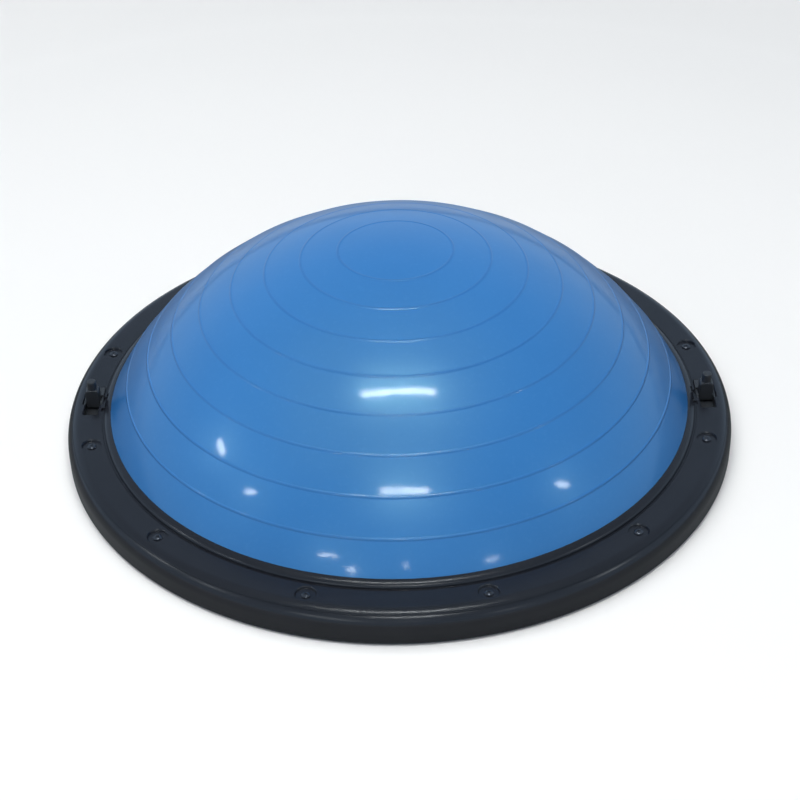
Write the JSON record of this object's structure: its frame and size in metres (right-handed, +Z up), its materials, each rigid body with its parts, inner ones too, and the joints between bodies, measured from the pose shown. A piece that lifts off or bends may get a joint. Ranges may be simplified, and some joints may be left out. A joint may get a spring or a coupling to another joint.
{
  "type": "balance dome trainer",
  "caption": "Half-dome balance trainer: an inflated ribbed blue vinyl dome clamped by a screwed black ring onto a round platform with rubber feet, an air valve and fold-down band anchors.",
  "frame": {"origin": "centre of the plane the rubber feet rest on", "axes": "+Z up through the apex of the dome; the band anchors are at +X and -X; -Y is the front, towards which the anchors fold"},
  "size_m": [0.6, 0.6, 0.186],
  "materials": {
    "platform_plastic": "satin moulded black polypropylene, faintly blue",
    "dome_vinyl": "smooth glossy blue vinyl with fine raised rings",
    "ring_screw": "black coated steel",
    "anchor_plastic": "dark moulded nylon, slightly glossy",
    "anchor_pin": "plain steel pin",
    "foot_rubber": "matte black rubber",
    "valve_rubber": "black rubber",
    "plug_plastic": "off-white moulded plastic"
  },
  "bodies": {
    "platform": {"base_tray": "platform_plastic", "clamp_ring": "platform_plastic", "ring_screw_01": "ring_screw", "ring_screw_02": "ring_screw", "ring_screw_03": "ring_screw", "ring_screw_04": "ring_screw", "ring_screw_05": "ring_screw", "ring_screw_06": "ring_screw", "ring_screw_07": "ring_screw", "ring_screw_08": "ring_screw", "ring_screw_09": "ring_screw", "ring_screw_10": "ring_screw", "ring_screw_11": "ring_screw", "ring_screw_12": "ring_screw", "foot_01": "foot_rubber", "foot_02": "foot_rubber", "foot_03": "foot_rubber", "foot_04": "foot_rubber", "foot_05": "foot_rubber", "foot_06": "foot_rubber", "foot_07": "foot_rubber", "foot_08": "foot_rubber", "valve_body": "valve_rubber", "anchor_bracket_left": "anchor_plastic", "anchor_bracket_right": "anchor_plastic", "anchor_pin_left": "anchor_pin", "anchor_pin_right": "anchor_pin"},
    "dome": {"dome_bladder": "dome_vinyl"},
    "plug": {"valve_plug": "plug_plastic"},
    "left_post": {"anchor_post_left": "anchor_plastic"},
    "right_post": {"anchor_post_right": "anchor_plastic"}
  },
  "joints": [
    {"name": "dome_compress", "type": "slide", "parent": "platform", "child": "dome", "axis": [0, 0, -1], "range_m": [0, 0.06], "stiffness_N_per_m": 12000, "springref_m": -0.01, "deforming": ["dome_bladder"]},
    {"name": "plug_pull", "type": "slide", "parent": "platform", "child": "plug", "axis": [0, 0, -1], "range_m": [0, 0.03]},
    {"name": "left_post_fold", "type": "hinge", "parent": "platform", "child": "left_post", "pos_m": [-0.278, -0.0025, 0.026], "axis": [1, 0, 0], "range_deg": [0, 90]},
    {"name": "right_post_fold", "type": "hinge", "parent": "platform", "child": "right_post", "pos_m": [0.278, -0.0025, 0.026], "axis": [1, 0, 0], "range_deg": [0, 90]}
  ]
}
